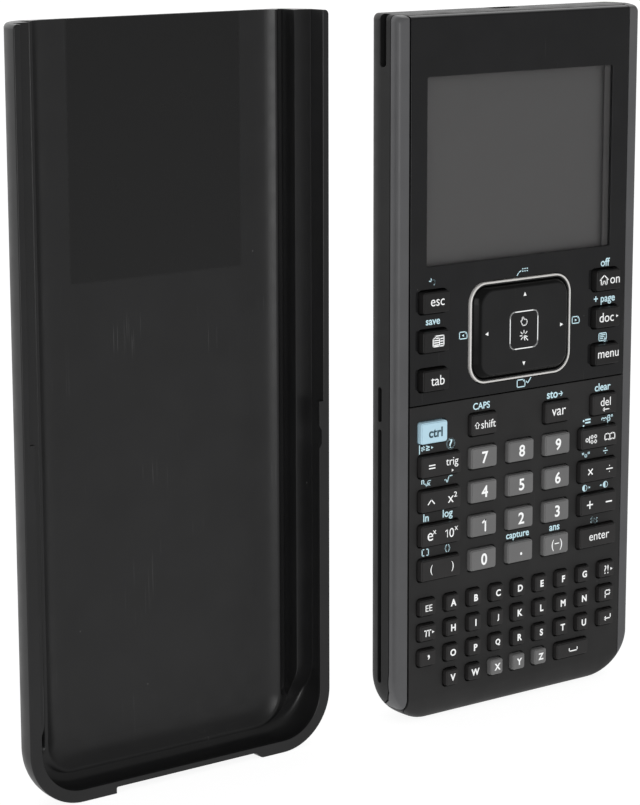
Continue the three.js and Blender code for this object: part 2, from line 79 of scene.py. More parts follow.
DOCK_Y, DOCK_W, DOCK_H, DOCK_SINK, BAYS, BAY_PITCH = 8, 20, 3, 0.6, 8, 2.2
COVER_W, COVER_H, COVER_DEPTH, COVER_WALL, COVER_CORNER = 92.9, 193.9, 13, 2, 15.2
COVER_SIDE = (0.4, 0.3, 12.2, 11)
COVER_BOTTOM = (0.4, 0.3, 5, 5)
COVER_TOP = (0.3, 0.2, 0.6, 0.4)
LEDGE_DEPTH, LEDGE_HALF, CREST_DEPTH, FLOOR_DEPTH, FLOOR_HALF = 5, 39.2, 8.8, 11, 28.2
RAIL_TOP, RAIL_REACH, RAIL_DEPTH, DETENT_Z = 93, 1.3, 1.1, 83.5


def own_origin(name, height=0.0):
    """The front middle of a CAD node, at a height in millimetres above the floor."""
    low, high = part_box(name)
    return Vector(((low.x + high.x) / 2, low.y, height * MM))


CALCULATOR = own_origin("upper_faceplate", FOOT)
COVER = own_origin("slide_cover")


# ---- shapes

def ring(x0, x1, z0, z1, bottom_radius, top_radius, y, steps=16):
    """A rounded rectangle of points at depth y."""
    corners = (
        (x1 - bottom_radius, z0 + bottom_radius, bottom_radius, -90),
        (x1 - top_radius, z1 - top_radius, top_radius, 0),
        (x0 + top_radius, z1 - top_radius, top_radius, 90),
        (x0 + bottom_radius, z0 + bottom_radius, bottom_radius, 180),
    )
    points = []
    for x, z, radius, start in corners:
        for i in range(steps + 1):
            angle = math.radians(start + 90 * i / steps)
            points.append((x + radius * math.cos(angle), y, z + radius * math.sin(angle)))
    return points


def frame_ring(x, z, width, height, radius, y, steps=8):
    return ring(x - width / 2, x + width / 2, z - height / 2, z + height / 2, radius, radius, y, steps)


def loft(rings, looped=False):
    """Points and faces of a skin over rings of equal length: closed by flat ends, or back onto itself."""
    count = len(rings[0])
    points = [p for r in rings for p in r]
    faces = []
    for k in range(len(rings) if looped else len(rings) - 1):
        a, b = k * count, (k + 1) % len(rings) * count
        for i in range(count):
            j = (i + 1) % count
            faces.append((a + i, b + i, b + j, a + j))
    if not looped:
        faces.append(tuple(range(count)))
        faces.append(tuple(reversed(range(len(points) - count, len(points)))))
    return points, faces


def add(name, data):
    made = bpy.data.objects.new(name, data)
    bpy.context.scene.collection.objects.link(made)
    return made


def solid(name, *shapes):
    """An object, still in millimetres, that holds one or more closed shapes."""
    points, faces = [], []
    for shape_points, shape_faces in shapes:
        start = len(points)
        points += shape_points
        faces += [tuple(start + i for i in face) for face in shape_faces]
    mesh = bpy.data.meshes.new(name)
    mesh.from_pydata(points, [], faces)
    shape = bmesh.new()
    shape.from_mesh(mesh)
    bmesh.ops.remove_doubles(shape, verts=shape.verts, dist=1e-4)
    bmesh.ops.recalc_face_normals(shape, faces=shape.faces)
    shape.to_mesh(mesh)
    shape.free()
    return add(name, mesh)


def evaluated(piece):
    """The mesh that a piece's modifiers or a curve come to."""
    graph = bpy.context.evaluated_depsgraph_get()
    return bpy.data.meshes.new_from_object(piece.evaluated_get(graph), depsgraph=graph)


def combine(base, tool, operation="DIFFERENCE"):
    """Cuts tool from base, or joins it or keeps only what both share. The tool is used up."""
    modifier = base.modifiers.new("combine", "BOOLEAN")
    modifier.object = tool
    modifier.operation = operation
    modifier.solver = "EXACT"
    mesh = evaluated(base)
    base.modifiers.clear()
    base.data = mesh
    bpy.data.objects.remove(tool)
    return base


def cut(base, *shapes):
    return combine(base, solid("cut", *shapes))


def box(x0, x1, y0, y1, z0, z1):
    return loft([ring(x0, x1, z0, z1, 0, 0, y, 1) for y in (y0, y1)])


def quarter(steps=6):
    """Steps of a quarter circle, as (how far in from the edge, how deep), each from 1 to 0 and 0 to 1."""
    angles = [math.pi / 2 * i / steps for i in range(steps + 1)]
    return [(1 - math.sin(a), 1 - math.cos(a)) for a in angles]


def soft_box(x0, x1, y0, y1, z0, z1, front=0.25, back=0.0, corner=0.05, left=1.0):
    """A block whose front edges, and back ones if asked, are rounded: left times as wide on the left."""
    def at(inset, y):
        return ring(x0 + inset * left, x1 - inset, z0 + inset, z1 - inset, corner, corner, y, 4)
    rings = [at(front * share, y0 + front * deep) for share, deep in quarter()]
    if back:
        rings += [at(back * share, y1 - back * deep) for share, deep in reversed(quarter())]
    else:
        rings.append(at(0, y1))
    return loft(rings)


def stepped(x, z, width, height, corner, sections, steps=8, looped=False):
    """A rounded block along y, or a hoop, from (growth, depth) pairs."""
    return loft([frame_ring(x, z, width + 2 * grow, height + 2 * grow, corner + grow, y, steps)
                 for grow, y in sections], looped)


def hole(x, z, width, height, radius, depth=3.0, flare=0.22):
    """A cutter for an opening whose front edge is rounded over."""
    edge = [(flare * share, flare * deep) for share, deep in quarter(4)]
    return stepped(x, z, width, height, radius, [(flare, -1)] + edge + [(0, depth)])


def lathe(profile, x, z):
    """A turned shape about a line along y, from (radius, y) pairs that start and end on the axis."""
    turn = [2 * math.pi * i / 40 for i in range(40)]
    return loft([[(x + radius * math.cos(a), y, z + radius * math.sin(a)) for a in turn]
                 for radius, y in profile])


def upright(shape, x, y, z):
    """Turns a shape drawn facing -y so that its front faces up, and moves it."""
    points, faces = shape
    return [(x + px, y + pz, z - py) for px, py, pz in points], faces


# ---- materials

def adjust(shader_node, **values):
    """Sets a node's inputs, or its properties, of these names."""
    for key, value in values.items():
        socket = key.replace("_", " ")
        if socket in shader_node.inputs:
            shader_node.inputs[socket].default_value = value
        else:
            setattr(shader_node, key, value)
    return shader_node


def node(tree, kind, **values):
    return adjust(tree.nodes.new("ShaderNode" + kind), **values)


def place(tree, target):
    """Feeds a node with the place in the row frame, in metres."""
    tree.links.new(node(tree, "TexCoord").outputs["Object"], target.inputs["Vector"])
    return target


def noise(tree, scale, detail=2.0, stretch=(1, 1, 1), turn=(0, 0, 0)):
    """Noise, with scale in repeats per metre."""
    mapping = place(tree, node(tree, "Mapping", Scale=stretch, Rotation=turn))
    made = node(tree, "TexNoise", Scale=scale, Detail=detail)
    tree.links.new(mapping.outputs["Vector"], made.inputs["Vector"])
    return made.outputs["Fac"]


def spread(tree, source, low, high, to_low, to_high):
    """Maps a value from one span to another and keeps it there."""
    made = node(tree, "MapRange", From_Min=low, From_Max=high, To_Min=to_low, To_Max=to_high)
    tree.links.new(source, made.inputs["Value"])
    return made.outputs["Result"]


def arithmetic(tree, operation, a, b):
    made = node(tree, "Math", operation=operation)
    for index, value in enumerate((a, b)):
        if isinstance(value, (int, float)):
            made.inputs[index].default_value = value
        else:
            tree.links.new(value, made.inputs[index])
    return made.outputs[0]


def product(tree, first, *others):
    for other in others:
        first = arithmetic(tree, "MULTIPLY", first, other)
    return first


def blend_colour(tree, factor, first, second):
    """Between two colours, either of them a plain one or another node's."""
    made = node(tree, "MixRGB")
    tree.links.new(factor, made.inputs["Fac"])
    for socket, value in (("Color1", first), ("Color2", second)):
        if isinstance(value, tuple):
            made.inputs[socket].default_value = (*value, 1)
        else:
            tree.links.new(value, made.inputs[socket])
    return made.outputs["Color"]


def shade(colour, factor):
    return tuple(channel * factor for channel in colour)


def wear(tree, tint, gloss, amount):
    """A few faint slanting scratches and specks of dust."""
    streak = spread(tree, noise(tree, 1, 0, (3800, 3800, 60), (0, -0.5, 0)), 0.74, 0.8, 0, 0.5)
    fade = spread(tree, noise(tree, 60, 1), 0.58, 0.7, 0, 1)
    cells = place(tree, node(tree, "TexVoronoi", Scale=95))
    speck = spread(tree, cells.outputs["Distance"], 0.012, 0.024, 1, 0)
    line = arithmetic(tree, "MAXIMUM", product(tree, streak, fade), speck)
    gloss = arithmetic(tree, "ADD", gloss, product(tree, line, 0.2))
    return blend_colour(tree, product(tree, line, amount), tint, (0.2, 0.2, 0.2)), gloss


M = {}


def finish(name, colour, roughness, mottle=0.12, uneven=0.05, grain=4500, depth=0.000006,
           scratches=0.0, extra=None, **shader_values):
    """Adds a moulded or painted surface: slightly mottled, unevenly glossy, finely grained and scratched."""
    made = bpy.data.materials.new(name)
    made.use_nodes = True
    tree = made.node_tree
    shader = tree.nodes["Principled BSDF"]
    adjust(shader, **shader_values)
    patches = noise(tree, 90, 5)
    tint = blend_colour(tree, spread(tree, patches, 0.3, 0.7, 0, 1),
                        shade(colour, 1 - mottle), shade(colour, 1 + mottle))
    gloss = spread(tree, noise(tree, 210, 6), 0.3, 0.7, roughness - uneven, roughness + uneven)
    if scratches:
        tint, gloss = wear(tree, tint, gloss, scratches)
    if extra:
        tint, gloss = extra(tree, tint, gloss)
    bump = node(tree, "Bump", Strength=1.0, Distance=depth)
    tree.links.new(noise(tree, grain, 3), bump.inputs["Height"])
    tree.links.new(bump.outputs["Normal"], shader.inputs["Normal"])
    tree.links.new(tint, shader.inputs["Base Color"])
    tree.links.new(gloss, shader.inputs["Roughness"])
    M[name] = made


def within(tree, axis, low, high, soft=0.0004):
    """1 where the row-frame coordinate lies between low and high, in metres, and 0 outside."""
    value = place(tree, node(tree, "SeparateXYZ")).outputs[axis]
    rise = spread(tree, value, low - soft, low + soft, 0, 1)
    fall = spread(tree, value, high - soft, high + soft, 1, 0)
    return product(tree, rise, fall)


def cover_patch(tree, tint, gloss):
    """The smoother, darker rectangle on the upper part of the cover's floor."""
    mask = product(
        tree,
        within(tree, "X", COVER.x - 25.3 * MM, COVER.x + 26.3 * MM),
        within(tree, "Y", COVER.y + 9 * MM, COVER.y + 12 * MM),
        within(tree, "Z", 129 * MM, 0.3),
    )
    return (blend_colour(tree, mask, tint, (0.0035, 0.0035, 0.0036)),
            arithmetic(tree, "SUBTRACT", gloss, product(tree, mask, 0.1)))


def pad_bevel_painted_shade(tree, tint, gloss):
    """The bevel round the touchpad's flat middle: its colour is darkened as painted shade, and it mirrors less.
    """
    mask = within(tree, "Y", CALCULATOR.y - (PAD_RISE - 0.12) * MM, CALCULATOR.y + 3 * MM, 0.00008)
    mirroring = spread(tree, mask, 0, 1, 0.4, 0.14)
    tree.links.new(mirroring, tree.nodes["Principled BSDF"].inputs["Specular IOR Level"])
    # painted shade: the bevel's colour is pulled down towards black
    return blend_colour(tree, mask, tint, (0.005, 0.005, 0.005)), gloss


def pixel_grid(tree, tint, gloss):
    """The unlit panel's fine pixels, which only just show."""
    pixels = node(tree, "TexBrick", Scale=1.0, Mortar_Size=0.00002, Brick_Width=0.000203, Row_Height=0.000203,
                  offset=0.0, Color1=(0.139, 0.136, 0.136, 1), Color2=(0.143, 0.14, 0.14, 1),
                  Mortar=(0.121, 0.118, 0.118, 1))
    flat = place(tree, node(tree, "Mapping", Rotation=(math.pi / 2, 0, 0)))
    tree.links.new(flat.outputs["Vector"], pixels.inputs["Vector"])
    return pixels.outputs["Color"], gloss


def board_traces(tree, tint, gloss):
    """Copper tracks under the solder resist and tinned pads."""
    tracks = noise(tree, 1, 0, (900, 1, 90))
    lines = spread(tree, tracks, 0.5, 0.52, 0, 1)
    pads = place(tree, node(tree, "TexVoronoi", Scale=420))
    dots = spread(tree, pads.outputs["Distance"], 0.16, 0.2, 1, 0)
    tint = blend_colour(tree, lines, tint, (0.03, 0.13, 0.07))
    return blend_colour(tree, dots, tint, (0.5, 0.48, 0.42)), gloss


finish("housing_plastic", (0.012, 0.012, 0.0122), 0.42, depth=0.00001, grain=3200, scratches=0.25,
       Specular_IOR_Level=0.28)
finish("grip_plastic", (0.08, 0.08, 0.083), 0.36, grain=5200, mottle=0.06, scratches=0.2)
finish("gloss_face", (0.0085, 0.0085, 0.009), 0.13, grain=2600, depth=0.0000015, scratches=0.12,
       uneven=0.04, Specular_IOR_Level=0.4)
finish("keypad_face", (0.0165, 0.0162, 0.0162), 0.46, grain=5000, depth=0.000008, scratches=0.15,
       Specular_IOR_Level=0.4)
finish("display", (0.06, 0.059, 0.059), 0.34, mottle=0.02, uneven=0.02, extra=pixel_grid, depth=0.000001)
finish("circuit_board", (0.012, 0.07, 0.035), 0.3, extra=board_traces)
finish("silicone", (0.45, 0.44, 0.4), 0.6, mottle=0.05, Subsurface_Weight=0.2)
finish("silver_trim", (0.8, 0.785, 0.76), 0.36, mottle=0.05, grain=3000, scratches=0.2, Metallic=0.25)
# The pad's bevel carries painted shade, a darker colour than the pad's own plastic.
finish("touchpad_plastic", (0.0095, 0.0095, 0.0098), 0.12, uneven=0.03, depth=0.000002, scratches=0.15,
       extra=pad_bevel_painted_shade)
finish("black_key", (0.0115, 0.011, 0.011), 0.32, Specular_IOR_Level=0.4)
finish("dark_key", (0.021, 0.02, 0.02), 0.42, depth=0.000008, Specular_IOR_Level=0.4)
finish("number_key", (0.138, 0.137, 0.137), 0.42, depth=0.000008, mottle=0.05)
finish("ctrl_key", (0.46, 0.67, 0.78), 0.36, mottle=0.04)
finish("battery_wrap", (0.03, 0.034, 0.04), 0.35)
finish("socket_metal", (0.5, 0.5, 0.5), 0.3, Metallic=1.0, mottle=0.06, scratches=0.3)
finish("connector_plastic", (0.015, 0.015, 0.015), 0.5)
finish("screw_steel", (0.35, 0.35, 0.35), 0.32, Metallic=1.0, scratches=0.3)
finish("reset_plastic", (0.25, 0.25, 0.25), 0.5)
finish("cover_plastic", (0.0085, 0.0085, 0.0088), 0.33, grain=3600, depth=0.000005, scratches=0.28,
       extra=cover_patch, Specular_IOR_Level=0.62)
finish("contact_gold", (0.75, 0.55, 0.25), 0.25, Metallic=1.0)
finish("white_ink", (0.93, 0.94, 0.94), 0.5, mottle=0.04, depth=0.000002)
finish("blue_ink", (0.62, 0.87, 0.95), 0.5, mottle=0.05, depth=0.000002)
finish("grey_ink", (0.02, 0.055, 0.075), 0.5, mottle=0.05, depth=0.000002)
finish("lens_border", (0.09, 0.087, 0.087), 0.5, mottle=0.03, depth=0.000002)
finish("window", (0.012, 0.012, 0.013), 0.07, uneven=0.008, depth=0.000001, Alpha=0.16)


def settle(piece, origin, body, material, replaces=(), sharp=32):
    """Takes a piece from its own millimetres to its place, and gives it its finish and its body."""
    piece.data.transform(Matrix.Translation(origin) @ Matrix.Scale(MM, 4))
    piece.data.polygons.foreach_set("use_smooth", [True] * len(piece.data.polygons))
    piece.data.set_sharp_from_angle(angle=math.radians(sharp))
    piece.data.materials.clear()
    piece.data.materials.append(M[material])
    normals = piece.modifiers.new("normals", "WEIGHTED_NORMAL")
    normals.keep_sharp = True
    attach(piece, body)
    if replaces:
        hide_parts(*replaces)


def fixed(piece, material, *nodes, slot=None):
    """Settles a part of the calculator that doesn't move, in place of its CAD nodes."""
    settle(piece, CALCULATOR, "calculator", material, nodes)


# ---- blocks with rounded edges

def inset(y, depth, edge):
    """How far an edge has drawn in at depth y, on a quarter ellipse at the front and one at the back."""
    front_depth, front_inset, back_depth, back_inset = edge
    front = max(0, (front_depth - y) / front_depth)
    back = max(0, (y - depth + back_depth) / back_depth)
    return (front_inset * (1 - math.sqrt(1 - min(1, front) ** 2))
            + back_inset * (1 - math.sqrt(1 - min(1, back) ** 2)))


def edge_depths(depth, edges, steps):
    """Depths that follow every rounding of these edges in even steps of angle."""
    found = {0.0, float(depth)}
    for front_depth, _, back_depth, _ in edges:
        for i in range(1, steps + 1):
            angle = math.pi / 2 * i / steps
            found.add(round(front_depth * (1 - math.cos(angle)), 4))
            found.add(round(depth - back_depth * (1 - math.cos(angle)), 4))
    kept = []
    for y in sorted(found):
        if not kept or y - kept[-1] > 0.012:
            kept.append(y)
    kept[-1] = float(depth)
    return kept


def rounded_block(width, height, depth, edges, bottom_radius, top_radius,
                  foot=0, shrink=0, steps=16, samples=12):
    """A block with rounded sides, bottom and top; with shrink its lower corners draw in as the bottom does."""
    side_edge, bottom_edge, top_edge = edges
    rings = []
    for y in edge_depths(depth, edges, samples):
        side = width / 2 - inset(y, depth, side_edge)
        bottom = inset(y, depth, bottom_edge)
        radius = max(0.8, bottom_radius - shrink * bottom)
        rings.append(ring(-side, side, bottom - foot, height - inset(y, depth, top_edge),
                          radius, top_radius, y, steps))
    return loft(rings)


# ---- calculator body

def form_within(form, shape, name, lip=None):
    """The part of the body's form that lies in a shape, or in its lip."""
    piece = add(name, form.data.copy())
    zone = solid("shape", shape)
    if lip:
        combine(zone, solid("lip", lip), "UNION")
    return combine(piece, zone, "INTERSECT")


def lip_zone(x0, x1, line, grow=0.0):
    """A block under a line of (depth, height) pairs, for what wraps round the bottom end."""
    outline = [(0.5, BELOW), (0.5, line[0][1] + grow)] + [(y + grow, z + grow) for y, z in line]
    outline.append((line[-1][0] + grow, BELOW))
    return loft([[(x, y, z) for y, z in outline] for x in (x0, x1)])


def key_place(name):
    """A key's centre, cap size and rise in the calculator's millimetres, from its CAD solid."""
    low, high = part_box(name)
    centre = ((low + high) / 2 - CALCULATOR) / MM
    size = (high - low) / MM
    wide = 1 if size.x > 15 else 0
    narrow = 0.3 + 0.2 * wide
    return (centre.x + 0.2 + 0.15 * wide, centre.z, size.x - 2 * FLANGE - narrow, size.z - 2 * FLANGE,
            (CALCULATOR.y - low.y) / MM)


KEY_CORNER = 0.85
LETTER_CAP = (4.6, 4.6, 1.3)
LETTER_ROWS = {"letters_a_to_g": "ABCDEFG", "letters_h_to_n": "HIJKLMN",
               "letters_o_to_u": "OPQRSTU", "letters_v_to_z": "VWXYZ"}


def letter_places(row):
    """Each letter of a row with its centre."""
    low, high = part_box(row)
    z = (low.z + high.z) / 2 / MM - FOOT
    return [(letter, 0.1 + (i - 3) * LETTER_PITCH, z) for i, letter in enumerate(LETTER_ROWS[row])]


KEYS = sorted(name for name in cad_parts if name.startswith("key_"))


def faceplates(form):
    key_holes = [key_place(name) for name in KEYS]
    for row in LETTER_ROWS:
        key_holes += [(x, z, *LETTER_CAP) for _, x, z in letter_places(row)]
    holes = [(z, hole(x, z, width + 2 * GAP, height + 2 * GAP, KEY_CORNER + GAP))
             for x, z, width, height, _ in key_holes]
    below = [shape for z, shape in holes if z < SPLIT_Z]
    above = [shape for z, shape in holes if z > SPLIT_Z]
    above.append(hole(0, SCREEN_Z, SCREEN_W, SCREEN_H, 0.6, flare=0.12))
    above.append(hole(0, PAD_Z, PAD_W + 2 * GAP, PAD_H + 2 * GAP, PAD_RADIUS + GAP, flare=0.12))
    left = GAP - FACE_HALF

    def zone(z0, z1):
        return soft_box(left, FACE_HALF, AHEAD, FACE_THICK, z0, z1, FACE_BEVEL, left=2.2)
    upper = form_within(form, zone(SPLIT_Z + GAP / 2, ABOVE), "upper_face")
    lower = form_within(form, zone(BELOW, SPLIT_Z - GAP / 2), "keypad_face",
                        lip_zone(left, FACE_HALF, FACE_LIP))
    fixed(cut(upper, *above), "gloss_face", "upper_faceplate")
    fixed(cut(lower, *below), "keypad_face", "keypad_faceplate")


def grips(form):
    inner, outer = FACE_HALF + GAP, BODY_W / 2 + 1
    for name, x0, x1 in (("left_side_grip", -outer, -inner), ("right_side_grip", inner, outer)):
        block = soft_box(x0, x1, AHEAD, GRIP_DEPTH, BELOW, ABOVE, FACE_BEVEL, 0.12)
        fixed(form_within(form, block, name + "_skin", lip_zone(x0, x1, GRIP_LIP)), "grip_plastic", name)


def side_slot(side, z0, z1, y, width, depth, flare=0.3):
    """A straight slot with round ends in a side wall, its mouth rounded over."""
    face = BODY_W / 2
    rings = []
    for grow, out in [(flare, 1.5)] + [(flare * s, -flare * d) for s, d in quarter(5)] + [(0, -depth)]:
        half = width / 2 + grow
        rings.append([(side * (face + out), y + px, pz)
                      for px, _, pz in ring(-half, half, z0 - grow, z1 + grow, half, half, 0, 10)])
    return loft(rings)


def cavity():
    half = BODY_W / 2 - WALL
    rings = []
    for y, side, bottom, top in ((1, 0, 2, 0), (4, 0, 0.4, 0), (6.8, 0, 0.2, 0.6), (9, 0.8, 0.2, 2.2),
                                 (BODY_DEPTH - BACK_WALL, 5.2, 3, 6.5)):
        rings.append(ring(-half + side, half - side, WALL + bottom - FOOT, BODY_H - WALL - top,
                          11, 3, y, 8))
    return loft(rings)


def rear_housing(form):
    depth, height = BODY_DEPTH, BODY_H
    back = depth - BACK_WALL
    housing = form_within(form, box(-BESIDE, BESIDE, FACE_THICK + GAP, depth + 1, BELOW, ABOVE), "rear_shell")
    cut(housing, cavity())
    cut(housing, lip_zone(-BESIDE, BESIDE, FACE_LIP, GAP))
    cuts = []
    for side in (-1, 1):
        x0, x1 = sorted((side * FACE_HALF, side * BESIDE))
        cut(housing, box(x0, x1, -1, GRIP_DEPTH + GAP, BELOW, ABOVE))
        cut(housing, lip_zone(x0, x1, GRIP_LIP, GAP))
        cuts.append(side_slot(side, height - CATCH_LENGTH, height + 3, **CATCH))
        for z0, z1 in RAIL_GROOVE_SPANS:
            cuts.append(side_slot(side, z0, z1, flare=0.15, **RAIL_GROOVE))
    soft = ((GAP, back - 1), (GAP, depth - 0.2), (GAP + 0.2, depth), (GAP + 0.2, depth + 1))
    cuts.append(stepped(0, DOOR_Z, DOOR_W, DOOR_H, DOOR_CORNER, soft))
    cuts.append(lathe([(0, back - 1)] + [(1.5 + grow, y) for grow, y in soft] + [(0, depth + 1)],
                      RESET_X, RESET_Z))
    usb = stepped(0, 0, USB_W + 0.6, USB_H + 0.6, 0.5, ((0.25, -2), (0.25, 0), (0, 0.3), (0, 6)), 5)
    cuts.append(upright(usb, 0, USB_Y, height - 0.05))
    dock = stepped(0, 0, DOCK_W + 0.6, DOCK_H + 0.6, 0.4, ((0, -4), (0, -0.2), (0.2, 0), (0.2, 2)), 5)
    cuts.append(upright(dock, 0, DOCK_Y, -FOOT))
    fixed(cut(housing, *cuts), "housing_plastic", "rear_housing")


def battery_door():
    """The door with its finger grooves, its sunk screws, and the reset button beside it."""
    depth = BODY_DEPTH
    door = solid("battery_door_panel", stepped(
        0, DOOR_Z, DOOR_W, DOOR_H, DOOR_CORNER,
        ((0, depth - DOOR_THICK), (0, depth - 0.2), (-0.06, depth - 0.06), (-0.2, depth))))
    groove = ((0, depth - 0.35), (0, depth - 0.15), (0.15, depth), (0.15, depth + 1))
    cuts = [stepped(0, DOOR_Z + FINGER_START + FINGER_PITCH * i, FINGER_W, FINGER_H, FINGER_H / 2, groove, 6)
            for i in range(FINGER_GROOVES)]
    for side in (-1, 1):
        cuts.append(lathe([(0, depth + 1), (2.5, depth + 1), (2.5, depth), (2.3, depth - 0.2),
                           (2.3, depth - 1.25), (1.2, depth - 1.25), (1.2, depth - 3), (0, depth - 3)],
                          0, DOOR_Z + side * SCREW_OUT))
    fixed(cut(door, *cuts), "housing_plastic", "battery_door")
    seat = depth - 1
    for name, side in (("door_screw_lower", -1), ("door_screw_upper", 1)):
        z = DOOR_Z + side * SCREW_OUT
        screw = solid(name + "_steel", lathe(
            [(0, seat - 5), (0.6, seat - 5), (0.9, seat - 4.5), (0.9, seat), (2, seat), (2, seat + 0.4),
             (1.85, seat + 0.62), (1.5, seat + 0.74), (0.8, seat + 0.8), (0, seat + 0.8)], 0, z))
        for half_x, half_z in ((1.1, 0.25), (0.25, 1.1)):
            cut(screw, box(-half_x, half_x, seat + 0.3, seat + 2, z - half_z, z + half_z))
        fixed(screw, "screw_steel", name)
    back = depth - BACK_WALL
    button = solid("reset_pin", lathe(
        [(0, back - 1.1), (2.3, back - 1.1), (2.3, back - 0.3), (1.5, back - 0.3), (1.5, depth - 0.5),
         (1.35, depth - 0.34), (1.1, depth - 0.3), (0.9, depth - 0.45), (0, depth - 0.55)], RESET_X, RESET_Z))
    settle(button, CALCULATOR, "reset_button", "reset_plastic", ["reset_button"])


def sockets():
    """The USB socket in the top end and the dock connector in the bottom end."""
    top = BODY_H - USB_SINK

    def outline(grow, y):
        return frame_ring(0, 0, USB_W + 2 * grow, USB_H + 2 * grow, max(0.1, USB_CORNER + grow), y, 6)
    shell = loft([outline(*point) for point in ((0, 8), (0, 0.1), (-0.1, 0), (-0.4, 0), (-0.5, 0.1),
                                                (-0.5, 6.5), (-1.65, 6.5))])
    tongue = loft([frame_ring(0, 0, 3.8 - 2 * grow, 0.8 - 2 * grow, 0.15, y, 3)
                   for grow, y in ((0.1, 0.9), (0, 1.1), (0, 7))])
    socket = solid("usb_shell", upright(shell, 0, USB_Y, top))
    combine(socket, solid("tongue", upright(tongue, 0, USB_Y, top)), "UNION")
    fixed(socket, "socket_metal", "usb_socket")
    dock = stepped(0, 0, DOCK_W, DOCK_H, 0.4, ((0, -5.4), (0, -0.15), (-0.15, 0)), 4)
    block = solid("dock_block", upright(dock, 0, DOCK_Y, DOCK_SINK - FOOT))
    bays, contacts = [], []
    for i in range(BAYS):
        x = (i - (BAYS - 1) / 2) * BAY_PITCH
        bays.append(box(x - 0.5, x + 0.5, DOCK_Y - 0.8, DOCK_Y + 0.8, -2, 1.2 - FOOT))
        contacts.append(soft_box(x - 0.3, x + 0.3, DOCK_Y - 0.5, DOCK_Y + 0.5, 0.85 - FOOT, 1.4 - FOOT, 0.08))
    fixed(cut(block, *bays), "connector_plastic", "dock_connector")
    fixed(solid("dock_contacts", *contacts), "contact_gold", slot="socket_metal")


def window_and_inside():
    side, top = SCREEN_W / 2 - 0.1, SCREEN_H / 2 - 0.1
    pane = soft_box(-side, side, 0.25, 0.85, SCREEN_Z - top, SCREEN_Z + top, 0.1, corner=0.5)
    fixed(solid("window_pane", pane), "window", "display_window")
    border = solid("window_border", box(-side, side, 0.9, 0.98, SCREEN_Z - top, SCREEN_Z + top))
    cut(border, box(PANEL_LEFT, PANEL_RIGHT, 0, 2, SCREEN_Z - PANEL_HALF, SCREEN_Z + PANEL_HALF))
    fixed(border, "lens_border", slot="window")
    for name, material in (("lcd_module", "display"), ("main_board", "circuit_board"),
                           ("keypad_membrane", "silicone"), ("battery_pack", "battery_wrap")):
        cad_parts[name].material_slots[0].material = M[material]


# ---- keys and touchpad

def cap_shape(x, z, width, height, rise, bevel=0.3, flange=FLANGE):
    """A key cap on its flange, with straight sides and a rounded-over crown."""
    def at(grow, y):
        return frame_ring(x, z, width + 2 * grow, height + 2 * grow, KEY_CORNER + min(grow, 0), y)
    crown = [at(-0.15 - bevel * (1 - share), -rise + bevel * (1 - deep)) for share, deep in quarter(6)]
    return loft([at(flange, SEAT_BACK), at(flange, SEAT_FRONT), at(0, SEAT_FRONT), at(0, 0)] + crown)


def key_finish(name):
    if name == "key_ctrl":
        return "ctrl_key"
    if name.split("_")[1] in (*"0123456789", "point", "negative"):
        return "number_key"
    if name in ("key_esc", "key_scratchpad", "key_tab", "key_home", "key_doc", "key_menu"):
        return "black_key"
    return "dark_key"


def keys():
    for name in KEYS:
        kind = key_finish(name)
        settle(solid(name + "_cap", cap_shape(*key_place(name))), CALCULATOR, name, kind, [name])
    for row in LETTER_ROWS:
        for i, (letter, x, z) in enumerate(letter_places(row)):
            kind = "number_key" if letter in "XYZ" else "dark_key"
            cap = solid(f"key_{letter.lower()}_cap", cap_shape(x, z, *LETTER_CAP, bevel=0.25, flange=0.4))
            settle(cap, CALCULATOR, row, kind, [] if i else [row])


def touchpad():
    """The silver ring with its dark liner, and the pressable pad inside it, bevelled wider on the left."""
    def hoop(name, section):
        return solid(name, stepped(0, PAD_Z, PAD_W, PAD_H, PAD_RADIUS, section, 20, looped=True))
    half = 0.27
    crest = half - RING_RISE
    section = [(0, FACE_THICK), (0, crest)]
    section += [(-half + half * math.cos(a), crest - half * math.sin(a))
                for a in (math.pi * i / 12 for i in range(1, 12))]
    section += [(-2 * half, crest), (-2 * half, FACE_THICK)]
    fixed(hoop("touchpad_ring", section), "silver_trim", "touchpad_trim")
    seat, inner = crest + 0.05, -2 * half - 0.01
    liner = hoop("touchpad_liner", [(inner, seat), (-TRIM, seat), (-TRIM, FACE_THICK), (inner, FACE_THICK)])
    fixed(liner, "connector_plastic", slot="gloss_face")
    width, height = PAD_W - 2 * TRIM - 2 * GAP, PAD_H - 2 * TRIM - 2 * GAP

    def pad(grow, y):
        left, corner = 2 if grow < 0 else 1, PAD_CORNER + grow / 2
        return ring(-width / 2 - left * grow, width / 2 + grow, PAD_Z - height / 2 - grow,
                    PAD_Z + height / 2 + grow, corner, corner, y, 16)
    bevel = [(-PAD_BEVEL * math.sin(a), -PAD_RISE + PAD_RISE * (1 - math.sin(a)) ** 1.5)
             for a in (math.pi / 2 * i / 14 for i in range(15))]
    section = [(FLANGE, SEAT_BACK), (FLANGE, SEAT_FRONT), (0, SEAT_FRONT)] + bevel
    pad_shape = loft([pad(*point) for point in section])
    settle(solid("touchpad_pad", pad_shape), CALCULATOR, "touchpad", "touchpad_plastic",
           ["touchpad"], 60)


# ---- printed marks

INK = 0.02  # half the thickness of the ink


def ink_shape(curve, x, z, y, width, height):
    """Points and faces of a flat curve, sized, centred on x and z, and standing just proud of depth y."""
    holder = add("ink", curve)
    mesh = evaluated(holder)
    points = [v.co.copy() for v in mesh.vertices]
    faces = [tuple(p.vertices) for p in mesh.polygons]
    bpy.data.objects.remove(holder)
    bpy.data.meshes.remove(mesh)
    lows = [min(p[i] for p in points) for i in (0, 1)]
    highs = [max(p[i] for p in points) for i in (0, 1)]
    scale = width / (highs[0] - lows[0]) if width else height / (highs[1] - lows[1])
    middle = [(a + b) / 2 for a, b in zip(lows, highs)]
    return [(x + (p[0] - middle[0]) * scale, y - (INK if p[2] > 0 else -INK), z + (p[1] - middle[1]) * scale)
            for p in points], faces


